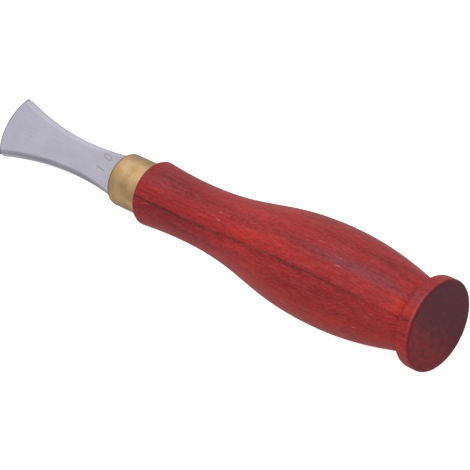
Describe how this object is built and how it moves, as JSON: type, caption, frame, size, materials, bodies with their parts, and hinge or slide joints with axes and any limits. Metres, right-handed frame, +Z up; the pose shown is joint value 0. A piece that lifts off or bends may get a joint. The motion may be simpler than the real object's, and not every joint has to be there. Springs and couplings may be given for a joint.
{
  "type": "leather creaser",
  "caption": "Hand leather creaser: fan-shaped steel blade with a grooved curved edge, brass ferrule and turned red hardwood handle with a flanged butt, for pressing lines along leather edges.",
  "frame": {"origin": "centre of the bounding box in X and Y, on the surface that the tool lies on", "axes": "+X along the tool from the butt to the blade's tip, +Y across the blade, +Z up; the tool lies on its belly and front shoulder, leaning about 4 degrees forward, with the blade level across"},
  "size_m": [0.1504, 0.0258, 0.0272],
  "materials": {
    "handle_wood": "red-stained open-grained hardwood under satin lacquer",
    "ferrule_brass": "satin turned",
    "blade_steel": "satin ground stainless steel",
    "tang_epoxy": "cured clear epoxy"
  },
  "bodies": {
    "root": {"handle": "handle_wood", "ferrule": "ferrule_brass", "creaser_blade": "blade_steel", "tang_adhesive": "tang_epoxy"}
  },
  "joints": []
}
